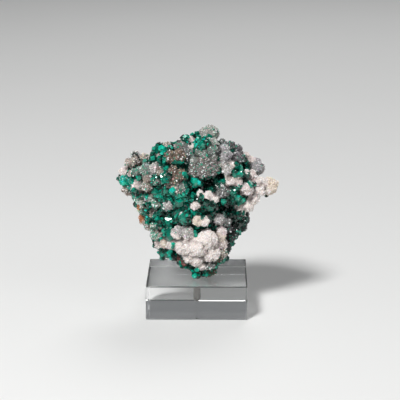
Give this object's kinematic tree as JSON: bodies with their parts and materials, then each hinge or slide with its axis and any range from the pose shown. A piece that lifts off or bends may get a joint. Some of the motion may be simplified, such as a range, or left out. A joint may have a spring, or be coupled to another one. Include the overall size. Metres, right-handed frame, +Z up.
{
  "type": "dioptase mineral specimen on a pin and acrylic base",
  "caption": "Chunk of emerald-green dioptase crystals and pale sugary druse lumps, held up by a metal pin in a square clear acrylic block that stands on a table.",
  "frame": {"origin": "middle of the acrylic block's underside", "axes": "+Z up, the specimen's display side faces -Y, +X to the right of someone looking at it"},
  "size_m": [0.0807, 0.0515, 0.0915],
  "materials": {
    "mineral": "satin",
    "pin_metal": "satin",
    "clear_acrylic": "polished"
  },
  "bodies": {
    "root": {"dioptase_specimen": "mineral", "mounting_pin": "pin_metal", "acrylic_base": "clear_acrylic"}
  },
  "joints": []
}
